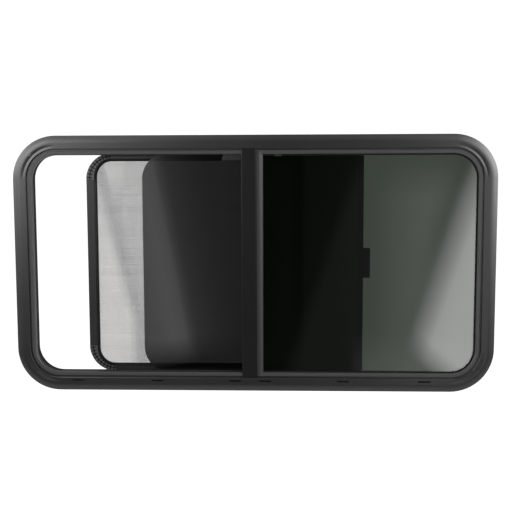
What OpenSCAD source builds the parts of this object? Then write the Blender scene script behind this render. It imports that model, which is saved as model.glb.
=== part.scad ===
// Half-slider caravan window: a bent aluminium frame with a fixed pane, a
// sliding pane and a sliding fly screen.
// X runs across the window, Z up, and Y inward: the outside looks at -Y.
// The origin is on the flange's seal, where it meets the wall, at the middle of the sill.
// Every section below is drawn as (s, o): s is the distance inward from the
// outer edge of the flange, and o the height outward from the wall's outer face.

/* [Window] */
// Overall width over the flange
window_w = 964; // [800:1:1200]
// Overall height over the flange
window_h = 516; // [420:1:700]
// Outer corner radius of the flange
corner_r = 87; // [70:1:110]

/* [Flange] */
// Width of the flange's curved outer part
curve_w = 15; // [10:0.5:17]
// Height of the flange at its outer edge
edge_h = 2.6; // [2.4:0.1:4]
// Height of the flange's flat inner part
flat_h = 7; // [6:0.1:8]
// Distance from the flange edge to the groove beside the lip
groove_from = 27.4; // [26.6:0.1:28]
// Height of the floor of the groove
groove_h = 3.6; // [3:0.1:4.5]
// Depth of the dent that bending leaves in each corner
dent_depth = 0.7; // [0.3:0.1:1]
// Distance from the flange edge to the middle of the dent
dent_from = 21.3; // [20:0.1:22]
// Thickness of the extruded skin
skin_t = 2; // [1.5:0.1:2.4]
// Distance from the flange edge to the glazing lip
lip_from = 31; // [30.5:0.1:32]
// Distance from the flange edge to the inner edge of the lip
lip_to = 38; // [37.5:0.1:40]
// Height of the front of the glazing lip
lip_h = 5.6; // [5:0.1:6.5]
// Thickness of the glazing lip
lip_t = 3.2; // [2.4:0.1:3.6]

/* [Drain slots] */
// Length of a drain slot
slot_len = 25; // [15:1:40]
// Height of a drain slot
slot_w = 3; // [2:0.1:3.2]
// Distance from the flange edge to the middle of the slots
slot_from = 21; // [20.8:0.1:23]
// Distance of the nearest pair of slots from the middle of the mullion
slot_near = 30.5; // [24:0.5:60]
// Distance of the next pair of slots from the middle of the mullion
slot_mid = 188; // [120:1:230]
// Distance from the farthest pair of slots to the start of the corners
slot_corner_gap = 43.5; // [30:0.5:60]

/* [Barrel and tracks] */
// Distance from the flange edge to the outside of the barrel
barrel_from = 30; // [28:0.5:30]
// Wall of the barrel
barrel_t = 2; // [1.5:0.1:2.4]
// Thickness of the track ribs
rib_t = 1.2; // [1:0.1:2]
// How far the front rib reaches inward from the barrel
front_rib = 4.5; // [3:0.1:5]
// How far the rib between the tracks reaches inward from the barrel
mid_rib = 4; // [3:0.1:5]
// How far the back rib reaches inward from the barrel
back_rib = 2.4; // [2:0.1:3]
// Wall of the run channels
channel_t = 1.5; // [1:0.1:2]
// Clearance of a pane or screen on each side in its run channel
run_clear = 0.7; // [0.3:0.1:1.2]
// Clearance between layers that slide past each other
layer_gap = 5; // [3:0.5:7]
// Gap between the right end of the tracks and the start of the corner
track_inset = 3; // [1:0.5:20]
// Length of the rubber stops at the end of the tracks
stop_len = 6; // [4:0.5:10]

/* [Mullion] */
// Left edge of the mullion's face, from the window's middle
mullion_left = -23; // [-60:0.5:-10]
// Width of the mullion's face
mullion_w = 30.7; // [24:0.1:40]
// Thickness of the mullion's face plate
mullion_face_t = 1.8; // [1.2:0.1:2.4]
// Width of the glazing bead beside the mullion
bead_w = 11.6; // [8:0.1:14]
// Width of the brush behind the mullion
brush_w = 4.5; // [3:0.1:6]
// Width of the block at the head beside the mullion
block_w = 39.5; // [30:0.1:60]
// Height of the block at the head
block_h = 12.3; // [8:0.1:16]

/* [Glass] */
// Thickness of both panes
glass_t = 4; // [3:0.1:5]
// Rubber between the fixed pane and the lip
gasket_t = 1.2; // [0.8:0.1:1.6]
// How much of the rubber shows inside the lip
gasket_show = 3; // [2:0.1:4]
// Distance from the flange edge to the edge of the fixed pane
fixed_edge = 35; // [34:0.1:36]
// Distance from the flange edge to the edges of the sliding pane, shut
sash_edge = 34.4; // [34:0.1:36]
// How far short of the mullion's right edge the shut pane ends
sash_lap = 10.8; // [8:0.1:14]
// How far the sliding pane stands open
sash_open = 223.6; // [0:0.1:380]
// Width of the stile on the pane's right edge
stile_w = 11.6; // [8:0.1:16]
// Wall of the stile beside the glass
stile_wall = 1.1; // [0.8:0.1:2]
// Distance from the flange edge to the ends of the stile
stile_from = 42; // [40:0.5:60]
// Reach of the latch beyond the stile
latch_w = 13.7; // [10:0.1:20]
// Height of the latch
latch_h = 60; // [40:1:90]

/* [Fly screen] */
// How far the shut fly screen reaches past the mullion's left edge
screen_lap = 16.2; // [8:0.1:22]
// How far the fly screen stands open
screen_open = 108.2; // [0:0.1:380]
// Thickness of the screen's frame
screen_t = 6.5; // [5:0.1:8]
// Width of the screen's stiles
screen_stile_w = 18.8; // [14:0.1:24]
// Width of the screen's rails
screen_rail_w = 13.7; // [10:0.1:16]
// Width of the dark spline that holds the mesh
spline_w = 2.5; // [2:0.1:4]
// Thickness of the mesh
mesh_t = 0.5; // [0.4:0.1:1]
// Wall of the hollow stiles and rails
screen_wall = 1; // [0.8:0.1:1.6]
// Radial slots in the front of each rounded corner key
key_slots = 10; // [5:1:14]
// Width of a slot
key_slot_w = 2.2; // [1:0.1:2.6]
// Depth of a slot
key_slot_d = 1.8; // [0.8:0.1:3]

/* [Clamp ring] */
// Distance from the flange edge to the outer edge of the clamp ring
ring_from = 4; // [2:0.5:8]
// Distance from the flange edge to the inner edge of the clamp ring
ring_to = 33.5; // [33:0.1:36]
// Thickness of the clamp ring
ring_t = 2; // [1.5:0.1:3]
// How far the ring's outer edge reaches forward to the wall
ring_leg = 3.7; // [1:0.1:8]
// Diameter of the clamp screws
screw_d = 3.6; // [3:0.1:3.7]
// Diameter of a screw's head
head_d = 8; // [6.5:0.1:9]
// How deep a screw bites into its port
screw_bite = 6; // [4:0.5:6.5]
// Largest spacing of the clamp screws
screw_pitch = 190; // [120:5:260]

/* [Hidden] */
$fn = 96;
half_w = window_w / 2;
half_h = window_h / 2;
straight_w = half_w - corner_r;
straight_h = half_h - corner_r;

// Heights outward, from the front of the window to its back
lip_back = lip_h - lip_t;
fixed_front = lip_back - gasket_t;
fixed_back = fixed_front - glass_t;
mullion_leg_t = 1.2;
mullion_leg_front = fixed_back - gasket_t / 2;
mullion_back = mullion_leg_front - mullion_leg_t;
stile_t = glass_t + 2 * stile_wall;
stile_front = mullion_back - layer_gap;
sash_front = stile_front - stile_wall;
sash_back = sash_front - glass_t;
stile_back = stile_front - stile_t;
sash_channel_front = sash_front + run_clear + channel_t;
sash_channel_back = sash_back - run_clear - channel_t;
screen_front = stile_back - layer_gap;
screen_back = screen_front - screen_t;
screen_channel_front = sash_channel_back - rib_t;
screen_channel_back = screen_back - run_clear - channel_t;
rib_front = sash_channel_front + rib_t;
barrel_back = screen_channel_back - rib_t;
barrel_in = barrel_from + barrel_t;
channel_floor = barrel_in + channel_t;

// Reach of the run channels' lips from the flange edge
sash_front_lip = lip_to + 0.8;
sash_back_lip = lip_to - 0.8;
screen_front_lip = barrel_in + mid_rib + 0.6;
screen_back_lip = barrel_in + back_rib + 0.8;

// The screw port between the barrel and a fin
port_w = 3.8;
port_fin_t = 1.2;
port_depth = 7;
port_mid = barrel_from - port_w / 2;
fin_from = barrel_from - port_w - port_fin_t;

// The seal's channel under the flange, and the web on its inner side
edge_wall = 2.2;
web_from = 17.8;
web_to = 19.2;
seal_mid = (edge_wall + web_from) / 2;

// How far the end screws stand from the corners, along the rails and along the jambs
rail_inset = 20;
jamb_inset = 60;

// Radius of the dent's section, and its spare height at the two ends of a corner
dent_r = 7;
dent_spare = 0.05;

// The latch, whose middle lies a little above the middle of the window
latch_low = 2 - latch_h / 2;
latch_rim = 3;
lever_t = 3;
stile_web = 1.5;

// Positions across the window
mullion_right = mullion_left + mullion_w;
mullion_mid = mullion_left + mullion_w / 2;
bead_right = mullion_right + bead_w;
fixed_left = mullion_right + 2.8;
face_reach = half_h - groove_from - 0.6;
lip_half = half_h - lip_to;
track_end = straight_w - track_inset;
sash_left = -half_w + sash_edge + sash_open;
sash_right = mullion_right - sash_lap + sash_open;
sash_half_h = half_h - sash_edge;
sash_r = corner_r - sash_edge;
stile_half_h = half_h - stile_from;
slot_offsets = [slot_near, slot_mid, straight_w - slot_corner_gap];
screen_edge = 34.2;
screen_left = -half_w + screen_edge + screen_open;
screen_right = mullion_left + screen_lap + screen_open;
screen_half_h = half_h - screen_edge;
screen_r = corner_r - screen_edge;

// Height of the flange's front at the distance s from its edge
function front_h(s) = s < curve_w ? edge_h + (flat_h - edge_h) * sin(90 * s / curve_w) : flat_h;

// Points of the front from one distance to another, lowered by drop
function front_points(from, to, drop, steps) =
    [for (i = [0 : steps]) let (s = from + (to - from) * i / steps) [s, front_h(s) - drop]];

// Lifts what is drawn round the window's middle, so that the seal's middle is at Z = 0
module centred() {
    translate([0, 0, half_h - seal_mid]) children();
}

// Stands a plan view up on the wall: its height becomes the outward direction
module upright() {
    centred() rotate([90, 0, 0]) children();
}

// One straight of the frame, whose outer edge stands at x = off
module straight(len, off) {
    translate([off, -len / 2, 0]) rotate([90, 0, 180]) linear_extrude(len) children();
}

// One bent corner, a quarter turn from +X to +Y
module bend() {
    rotate_extrude(angle = 90) translate([corner_r, 0]) mirror([1, 0]) children();
}

// A section carried all the way round the window
module ring_sweep() {
    for (k = [0 : 3]) rotate([0, 0, 90 * k]) {
        len = k % 2 == 0 ? 2 * straight_h : 2 * straight_w;
        off = k % 2 == 0 ? half_w : half_h;
        straight(len, off) children();
    }
    for (sx = [-1, 1], sy = [-1, 1])
        translate([sx * straight_w, sy * straight_h, 0])
            rotate([0, 0, sx > 0 ? (sy > 0 ? 0 : 270) : (sy > 0 ? 90 : 180)]) bend() children();
}

// A section carried round the right-hand end, from x = from at the head to the sill
module end_sweep(from) {
    reach = straight_w - from;
    straight(2 * straight_h, half_w) children();
    for (sy = [-1, 1])
        translate([straight_w, sy * straight_h, 0]) rotate([0, 0, sy > 0 ? 0 : 270])
            bend() children();
    translate([from + reach / 2, 0, 0]) rotate([0, 0, 90]) straight(reach, half_h) children();
    translate([from + reach / 2, 0, 0]) rotate([0, 0, 270]) straight(reach, half_h) children();
}

// A plan shape with rounded corners on its left and square ones on its right
module left_rounded(left, right, half, r) {
    translate([left + r, -half]) square([right - left - r, 2 * half]);
    translate([left, r - half]) square([r, 2 * (half - r)]);
    for (sy = [-1, 1]) translate([left + r, sy * (half - r)]) circle(r);
}

// A round-ended slot in plan
module slot_shape(len, w) {
    square([len - w, w], center = true);
    for (sx = [-1, 1]) translate([sx * (len - w) / 2, 0]) circle(d = w, $fn = 32);
}

module frame_section() {
    ease = 0.5;
    shoulder = 1.2;
    polygon(concat(
        front_points(0, curve_w, 0, 12),
        [
            [groove_from - shoulder, flat_h], [groove_from - ease / 2, flat_h - ease],
            [groove_from, flat_h - shoulder], [groove_from, groove_h],
            [lip_from - ease, groove_h], [lip_from, lip_h - ease], [lip_from + ease, lip_h],
            [lip_to - 2 * ease, lip_h], [lip_to, lip_h - 2 * ease], [lip_to, lip_back],
            [barrel_in, lip_back],
            [barrel_in, rib_front], [barrel_in + front_rib, rib_front],
            [barrel_in + front_rib, sash_channel_front], [barrel_in, sash_channel_front],
            [barrel_in, sash_channel_back], [barrel_in + mid_rib, sash_channel_back],
            [barrel_in + mid_rib, screen_channel_front], [barrel_in, screen_channel_front],
            [barrel_in, screen_channel_back], [barrel_in + back_rib, screen_channel_back],
            [barrel_in + back_rib, barrel_back], [barrel_from, barrel_back],
            [barrel_from, groove_h - skin_t], [barrel_from - port_w, groove_h - skin_t],
            [barrel_from - port_w, -port_depth], [fin_from, -port_depth],
            [fin_from, flat_h - skin_t], [web_to, flat_h - skin_t],
            [web_to, 0], [web_from, 0], [web_from, flat_h - skin_t],
        ],
        front_points(curve_w, edge_wall, skin_t, 9),
        [[edge_wall, 0], [0, 0]]
    ));
}

// Round dent in the flange at one corner: a ring tipped so that it bites in the middle of
// the bend and leaves the surface before the two straights
module corner_dent() {
    ring_r = corner_r - dent_from;
    fall = (dent_depth + dent_spare) / (1 - cos(45));
    translate([0, 0, flat_h + dent_r - dent_depth + fall])
        rotate([0, 0, 45]) rotate([0, asin(fall / ring_r), 0])
            rotate_extrude() translate([ring_r, 0]) circle(dent_r, $fn = 48);
}

module outer_frame() {
    color([0.1, 0.1, 0.1]) difference() {
        upright() ring_sweep() frame_section();
        upright() for (sx = [0, 1], sy = [0, 1]) mirror([sx, 0, 0]) mirror([0, sy, 0])
            translate([straight_w, straight_h, 0]) corner_dent();
        centred() for (side = [-1, 1], d = slot_offsets)
            translate([mullion_mid + side * d, 0, slot_from - half_h]) rotate([90, 0, 0])
                translate([0, 0, flat_h - skin_t - 1]) linear_extrude(skin_t + 2)
                    slot_shape(slot_len, slot_w);
    }
}

module flange_seal() {
    color([0.16, 0.16, 0.17]) upright() ring_sweep()
        polygon(concat(
            [[web_from, flat_h - skin_t]],
            front_points(curve_w, edge_wall, skin_t, 9),
            [[edge_wall, 0], [web_from, 0]]
        ));
}

// Places along one side at no more than the screws' pitch
function spread(len) =
    let (n = ceil(len / screw_pitch)) [for (i = [0 : n]) -len / 2 + len * i / n];

screw_places = concat(
    [for (sy = [-1, 1], x = spread(2 * (straight_w - rail_inset))) [x, sy * (half_h - port_mid)]],
    [for (sx = [-1, 1], y = spread(2 * (straight_h - jamb_inset))) [sx * (half_w - port_mid), y]]
);

module clamp_ring() {
    wall_face = barrel_back + ring_leg;
    ring_back = barrel_back - ring_t;
    leg_t = 2;
    ease = 0.6;
    color([0.12, 0.12, 0.12]) difference() {
        upright() ring_sweep() polygon([
            [ring_from, wall_face], [ring_from + leg_t, wall_face],
            [ring_from + leg_t, barrel_back], [ring_to, barrel_back],
            [ring_to, ring_back + ease], [ring_to - ease, ring_back],
            [ring_from + 2 * ease, ring_back], [ring_from, ring_back + 2 * ease],
        ]);
        centred() for (p = screw_places) translate([p[0], -barrel_back - 1, p[1]])
            rotate([-90, 0, 0]) cylinder(h = ring_t + 2, d = screw_d + 0.8, $fn = 32);
    }
}

module clamp_screws() {
    tip = port_depth - screw_bite;
    seat = ring_t - barrel_back;
    color([0.55, 0.55, 0.57]) centred()
        for (p = screw_places) translate([p[0], 0, p[1]]) rotate([-90, 0, 0]) {
            translate([0, 0, tip]) cylinder(h = seat - tip, d = screw_d, $fn = 32);
            translate([0, 0, seat]) cylinder(h = 2.2, d1 = head_d, d2 = head_d - 2, $fn = 32);
        }
}

// A box section, its face plate with a fine line, and a leg that holds the glass
module mullion() {
    face_front = lip_h + mullion_face_t;
    ease = 0.4;
    line_x = mullion_right - 2.4;
    line_d = 0.5;
    box_left = mullion_left + 1;
    wall = 2;
    leg_half = lip_half - 2.5;
    color([0.09, 0.09, 0.09]) centred() union() {
        translate([0, 0, -face_reach]) linear_extrude(2 * face_reach) polygon([
            [mullion_left, -lip_h], [mullion_right, -lip_h], [mullion_right, ease - face_front],
            [mullion_right - ease, -face_front], [line_x + line_d, -face_front],
            [line_x, line_d - face_front], [line_x - line_d, -face_front],
            [mullion_left + 3 * ease, -face_front], [mullion_left, 3 * ease - face_front],
        ]);
        translate([0, 0, -lip_half]) linear_extrude(2 * lip_half) difference() {
            translate([box_left, -lip_h]) square([mullion_right - box_left, lip_h - mullion_back]);
            translate([box_left + wall, wall - lip_h]) square([
                mullion_right - box_left - 2 * wall, lip_h - mullion_back - 2 * wall,
            ]);
        }
        translate([mullion_right - 1, -mullion_leg_front, -leg_half])
            cube([bead_w, mullion_leg_t, 2 * leg_half]);
    }
}

module mullion_brush() {
    reach = lip_half - 3;
    tip_gap = 0.3;
    color([0.06, 0.06, 0.06]) centred() translate([mullion_left + 1, -mullion_back, -reach])
        cube([brush_w, mullion_back - sash_front - tip_gap, 2 * reach]);
}

// Two sloping faces that meet in a ridge; its ends lie mitred on the lips
module glazing_bead() {
    tip = half_h - lip_from;
    front = lip_h + 1.2;
    ridge_x = mullion_right + 5;
    foot_h = 1.4;
    spare = 1;
    color([0.3, 0.3, 0.3]) centred() difference() {
        translate([0, 0, -tip]) linear_extrude(2 * tip) polygon([
            [mullion_right, -lip_back], [bead_right, -lip_back], [bead_right, -lip_back - foot_h],
            [ridge_x, -front], [mullion_right, 0.4 - front],
        ]);
        for (sz = [0, 1]) mirror([0, 0, sz]) {
            translate([mullion_right - spare, -lip_h, lip_half])
                cube([bead_w + 2 * spare, lip_h, tip]);
            rotate([90, 0, 0]) linear_extrude(front + spare) polygon([
                [mullion_right, tip], [bead_right, lip_half], [bead_right + spare, lip_half],
                [bead_right + spare, tip + spare], [mullion_right, tip + spare],
            ]);
        }
    }
}

module fixed_glass() {
    half = half_h - fixed_edge;
    color([0.25, 0.3, 0.28, 0.6]) upright() translate([0, 0, fixed_back]) mirror([1, 0, 0])
        linear_extrude(glass_t)
            left_rounded(fixed_edge - half_w, -fixed_left, half, corner_r - fixed_edge);
}

// Rubber in front of the fixed pane and behind it, round the end and along the mullion
module fixed_gasket() {
    inner = lip_to + gasket_show;
    back_lip = inner - 1;
    back = fixed_back - 2;
    color([0.04, 0.04, 0.04]) {
        upright() end_sweep(mullion_right) polygon([
            [barrel_in, lip_back], [inner, lip_back], [inner, fixed_front],
            [fixed_edge, fixed_front], [fixed_edge, fixed_back], [back_lip, fixed_back],
            [back_lip, back], [fixed_edge, back],
            [fixed_edge, rib_front], [barrel_in, rib_front],
        ]);
        centred() translate([0, 0, inner - half_h]) linear_extrude(2 * (half_h - inner)) polygon([
            [mullion_right, -lip_back], [bead_right + 1.2, -lip_back],
            [bead_right + 1.2, -fixed_front], [fixed_left, -fixed_front],
            [fixed_left, -fixed_back], [bead_right, -fixed_back],
            [bead_right, -mullion_leg_front], [mullion_right, -mullion_leg_front],
        ]);
    }
}

module glazing_clip() {
    from_mullion = 34.8;
    w = 14.2;
    t = 2.4;
    h = 4.6;
    color([0.2, 0.2, 0.2]) centred()
        translate([mullion_right + from_mullion, -lip_back - t, lip_half - h]) cube([w, t, h]);
}

module head_block() {
    right = mullion_left + 1;
    slope = 3.9;
    color([0.2, 0.2, 0.2]) centred() translate([0, -mullion_back, lip_half])
        rotate([90, 0, 0]) linear_extrude(lip_back - mullion_back) polygon([
            [right, 0], [mullion_left - block_w + slope, 0], [mullion_left - block_w, -block_h],
            [right, -block_h],
        ]);
}

// A hollow strip that fills the empty glazing pocket round the open end
module pocket_filler() {
    wall = 1.4;
    color([0.12, 0.12, 0.12]) upright() mirror([1, 0, 0]) end_sweep(-mullion_left - 1) polygon([
        [barrel_in, lip_back], [lip_to, lip_back], [lip_to, rib_front], [barrel_in, rib_front],
        [barrel_in, rib_front + wall], [lip_to - wall, rib_front + wall],
        [lip_to - wall, lip_back - wall], [barrel_in, lip_back - wall],
    ]);
}

// A run channel: a U whose floor lies on the barrel, round the left end of the window
module run_channel(front, back, front_lip, back_lip) {
    upright() mirror([1, 0, 0]) end_sweep(-track_end) polygon([
        [barrel_in, front], [front_lip, front], [front_lip, front - channel_t],
        [channel_floor, front - channel_t], [channel_floor, back + channel_t],
        [back_lip, back + channel_t], [back_lip, back], [barrel_in, back],
    ]);
}

module sash_run_channel() {
    color([0.05, 0.05, 0.05])
        run_channel(sash_channel_front, sash_channel_back, sash_front_lip, sash_back_lip);
}

module screen_run_channel() {
    color([0.05, 0.05, 0.05])
        run_channel(
            screen_channel_front, screen_channel_back, screen_front_lip, screen_back_lip
        );
}

// Rubber stops that close the right-hand ends of a track, at the head and the sill
module end_stops(front, back, reach) {
    centred() for (sz = [-1, 1])
        translate([track_end - stop_len, -front, sz > 0 ? half_h - reach : channel_floor - half_h])
            cube([stop_len, front - back, reach - channel_floor]);
}

module sash_end_stops() {
    color([0.05, 0.05, 0.05])
        end_stops(sash_channel_front - channel_t, sash_channel_back + channel_t, sash_back_lip);
}

module screen_end_stops() {
    color([0.05, 0.05, 0.05])
        end_stops(
            screen_channel_front - channel_t, screen_channel_back + channel_t, screen_back_lip
        );
}

module sash_glass() {
    color([0.25, 0.27, 0.26, 0.6]) upright() translate([0, 0, sash_back]) linear_extrude(glass_t)
        left_rounded(sash_left, sash_right - stile_web, sash_half_h, sash_r);
}

module sash_stile() {
    ease = 0.8;
    left = sash_right - stile_w;
    color([0.05, 0.05, 0.05]) centred() translate([0, 0, -stile_half_h])
        linear_extrude(2 * stile_half_h) difference() {
            polygon([
                [left, -stile_front], [sash_right - ease, -stile_front],
                [sash_right, ease - stile_front], [sash_right, -stile_back - ease],
                [sash_right - ease, -stile_back], [left, -stile_back],
            ]);
            translate([left - 1, -sash_front]) square([stile_w - stile_web + 1, glass_t]);
        }
}

// Latch housing with rounded free corners and a slot on the inside for its lever
module sash_latch() {
    r = 2.5;
    slot_low = 3 * latch_rim;
    color([0.05, 0.05, 0.05]) upright() translate([sash_right, latch_low, stile_back]) difference() {
        linear_extrude(stile_t) {
            square([latch_w - r, latch_h]);
            translate([0, r]) square([latch_w, latch_h - 2 * r]);
            for (y = [r, latch_h - r]) translate([latch_w - r, y]) circle(r, $fn = 32);
        }
        translate([latch_rim, slot_low, -1])
            cube([latch_w - 2 * latch_rim, latch_h - 2 * slot_low, lever_t + 1]);
    }
}

// Lever that slides in the housing's slot, with three grip ribs
module latch_lever() {
    side_gap = 0.2;
    sunk = 0.4;
    rib_w = 2.4;
    rib_h = 0.8;
    w = latch_w - 2 * latch_rim - 2 * side_gap;
    len = latch_h * 0.4;
    color([0.07, 0.07, 0.07]) upright()
        translate([sash_right + latch_rim + side_gap, latch_low + (latch_h - len) / 2, stile_back + sunk]) {
            translate([0, 0, rib_h]) cube([w, len, lever_t - sunk - rib_h]);
            for (k = [1 : 3]) translate([0, len * k / 4 - rib_w / 2, 0]) cube([w, rib_w, 2 * rib_h]);
        }
}

// Section of a hollow stile or rail, with its front at y = 0 and its front edges eased
module bar_section(w) {
    ease = 0.8;
    difference() {
        polygon([
            [ease, 0], [w - ease, 0], [w, ease], [w, screen_t], [0, screen_t], [0, ease],
        ]);
        translate([screen_wall, screen_wall])
            square([w - 2 * screen_wall, screen_t - 2 * screen_wall]);
    }
}

// An upright of the fly screen, from its left face, reaching half to each side of the middle
module screen_stile(left, half) {
    centred() translate([left, -screen_front, -half]) linear_extrude(2 * half)
        bar_section(screen_stile_w);
}

module screen_left_stile() {
    h = screen_half_h - screen_r;
    color([0.22, 0.22, 0.22]) screen_stile(screen_left, h);
}

module screen_right_stile() {
    h = screen_half_h - screen_rail_w;
    color([0.12, 0.12, 0.12]) screen_stile(screen_right - screen_stile_w, h);
}

// The rail at the head, or turned over for the sill
module screen_rail(turned) {
    x0 = screen_left + screen_r;
    x1 = screen_right - screen_stile_w;
    centred() mirror([0, 0, turned]) translate([x0, -screen_front, screen_half_h])
        rotate([0, 90, 0]) linear_extrude(x1 - x0) bar_section(screen_rail_w);
}

module screen_top_rail() {
    color([0.22, 0.22, 0.22]) screen_rail(0);
}

module screen_bottom_rail() {
    color([0.22, 0.22, 0.22]) screen_rail(1);
}

// Inner edge of the screen's frame, pulled in by the distance d
module screen_inside(d) {
    left_rounded(
        screen_left + screen_stile_w + d, screen_right - screen_stile_w - d,
        screen_half_h - screen_rail_w - d, screen_r - screen_stile_w - d
    );
}

// Rounded corner key at the top left, with radial slots and one along the bend in its front
module rounded_key() {
    rim = 1.2;
    slot_in = screen_r - screen_rail_w + rim;
    slot_out = screen_r - rim;
    depth = key_slot_d + 1;
    rotate([90, 0, 0]) translate([screen_left + screen_r, screen_half_h - screen_r, 0])
        difference() {
            intersection() {
                translate([-screen_r, 0, screen_back]) cube([screen_r, screen_r, screen_t]);
                translate([0, 0, screen_back]) cylinder(h = screen_t, r = screen_r);
            }
            translate([-screen_left - screen_r, screen_r - screen_half_h, screen_back - 1])
                linear_extrude(screen_t + 2) screen_inside(0);
            translate([0, 0, screen_front - key_slot_d]) {
                for (k = [0 : key_slots - 1]) rotate([0, 0, 90 + 90 * (k + 0.5) / key_slots])
                    translate([slot_in, -key_slot_w / 2, 0])
                        cube([slot_out - slot_in, key_slot_w, depth]);
                rotate([0, 0, 90]) rotate_extrude(angle = 90)
                    translate([(slot_in + slot_out - key_slot_w) / 2, 0])
                        square([key_slot_w, depth]);
            }
        }
}

module screen_corner_top_left() {
    color([0.1, 0.1, 0.1]) centred() rounded_key();
}

module screen_corner_bottom_left() {
    color([0.1, 0.1, 0.1]) centred() mirror([0, 0, 1]) rounded_key();
}

// Square corner key at the top right, or turned over for the bottom
module square_key(turned) {
    centred() mirror([0, 0, turned])
        translate([screen_right - screen_stile_w, -screen_front, screen_half_h - screen_rail_w])
            cube([screen_stile_w, screen_t, screen_rail_w]);
}

module screen_corner_top_right() {
    color([0.1, 0.1, 0.1]) square_key(0);
}

module screen_corner_bottom_right() {
    color([0.1, 0.1, 0.1]) square_key(1);
}

module screen_spline() {
    behind = 1;
    sunk = 1.5;
    color([0.03, 0.03, 0.03]) upright() translate([0, 0, screen_back + behind])
        linear_extrude(screen_t - behind - sunk) difference() {
            screen_inside(0);
            screen_inside(spline_w);
        }
}

module screen_mesh() {
    color([0.6, 0.6, 0.6, 0.5]) upright() translate([0, 0, (screen_front + screen_back - mesh_t) / 2])
        linear_extrude(mesh_t) screen_inside(spline_w);
}

outer_frame();
flange_seal();
clamp_ring();
clamp_screws();
mullion();
mullion_brush();
glazing_bead();
fixed_glass();
fixed_gasket();
glazing_clip();
head_block();
pocket_filler();
sash_run_channel();
screen_run_channel();
sash_end_stops();
screen_end_stops();
sash_glass();
sash_stile();
sash_latch();
latch_lever();
screen_left_stile();
screen_right_stile();
screen_top_rail();
screen_bottom_rail();
screen_corner_top_left();
screen_corner_bottom_left();
screen_corner_top_right();
screen_corner_bottom_right();
screen_spline();
screen_mesh();
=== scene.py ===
# %% [markdown]
# A half-slider caravan window: a bent aluminium frame with a fixed pane on the right, a
# sliding pane and a sliding fly screen. The pieces with a real size come ready made from
# the packed frame. This lesson gives each of them its finish, and adds what is too fine
# for the frame: the woven mesh, the bristles of the brush, the threads of the screws.
# The frame is loaded first, so that every later step can ask it where a piece lies.

# %% Load the frame
import math
import random

import bpy
import numpy as np
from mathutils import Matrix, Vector


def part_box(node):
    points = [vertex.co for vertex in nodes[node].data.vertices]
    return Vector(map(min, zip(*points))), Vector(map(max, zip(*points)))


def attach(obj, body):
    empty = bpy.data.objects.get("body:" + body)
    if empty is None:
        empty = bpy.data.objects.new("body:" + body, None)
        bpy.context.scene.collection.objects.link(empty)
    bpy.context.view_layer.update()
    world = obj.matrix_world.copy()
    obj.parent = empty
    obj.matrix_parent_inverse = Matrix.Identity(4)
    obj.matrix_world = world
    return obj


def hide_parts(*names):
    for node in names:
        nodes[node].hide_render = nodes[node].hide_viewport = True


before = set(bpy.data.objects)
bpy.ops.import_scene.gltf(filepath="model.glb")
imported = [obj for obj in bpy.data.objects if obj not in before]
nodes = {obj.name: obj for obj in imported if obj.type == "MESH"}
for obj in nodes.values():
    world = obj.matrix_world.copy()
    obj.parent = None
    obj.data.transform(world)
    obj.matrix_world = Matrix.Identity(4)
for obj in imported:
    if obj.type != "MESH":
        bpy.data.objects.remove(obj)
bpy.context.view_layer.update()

MM = 0.001

# %% [markdown]
# A photograph is matched from its own viewpoint, so the camera comes before everything
# else. It could be placed by eye, but here its place follows from the perspective of the
# four outer corners of the frame: a little right of the middle, a hand's breadth above
# it, and a little over a metre and a half away. The lens covers the picture's square.

# %% Camera
EYE = Vector((0.061, -1.5966, 0.4151))
AIM = Vector((0.0053, 0.0, 0.265))
LENS_MM = 56.25
SENSOR_MM = 36
ROLL = math.radians(-0.17)


def place_camera():
    data = bpy.data.cameras.new("camera")
    data.lens = LENS_MM
    data.sensor_width = SENSOR_MM
    camera = bpy.data.objects.new("camera", data)
    bpy.context.scene.collection.objects.link(camera)
    camera.location = EYE
    camera.rotation_euler = (AIM - EYE).to_track_quat("-Z", "Y").to_euler()
    camera.rotation_euler.rotate_axis("Z", ROLL)
    bpy.context.scene.camera = camera


place_camera()
print("camera", round((AIM - EYE).length, 3), "m from the window")

# %% [markdown]
# Every finish below is a small tree of shader nodes. Trees built by hand in code are hard
# to read, so a class helps: Value wraps one socket and lets Python's own signs add the
# Math nodes, and a mask is then written as 1 - edge.

# %% Sockets that can be calculated with
class Value:
    """A socket in an owner's node tree; arithmetic on it adds Math nodes."""

    def __init__(self, owner, socket):
        self.owner = owner
        self.socket = socket

    def math(self, operation, *terms):
        settings = {"operation": operation}
        return self.owner.node("ShaderNodeMath", settings, dict(enumerate(terms)))[0]

    def __add__(self, other):
        return self.math("ADD", self, other)

    def __radd__(self, other):
        return self.math("ADD", other, self)

    def __sub__(self, other):
        return self.math("SUBTRACT", self, other)

    def __rsub__(self, other):
        return self.math("SUBTRACT", other, self)

    def __mul__(self, other):
        return self.math("MULTIPLY", self, other)

    def __rmul__(self, other):
        return self.math("MULTIPLY", other, self)

    def __pow__(self, other):
        return self.math("POWER", self, other)

    def __gt__(self, other):
        return self.math("GREATER_THAN", self, other)

    def __lt__(self, other):
        return self.math("LESS_THAN", self, other)

    def __abs__(self):
        return self.math("ABSOLUTE", self)


class Outputs:
    """The outputs of a node, by name or number."""

    def __init__(self, owner, node):
        self.owner = owner
        self.node = node

    def __getitem__(self, key):
        return Value(self.owner, self.node.outputs[key])


print("made the classes", Value.__name__, "and", Outputs.__name__)

# %% [markdown]
# All other nodes come from one method, node: the type, then the settings, then what goes
# into the sockets. Patterns are written in metres on the real object, so a noise is asked
# for by the size of its blots. The tree of a material is a Finish, which also has the
# shader, and can let a second shader take over by a mask.

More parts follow.
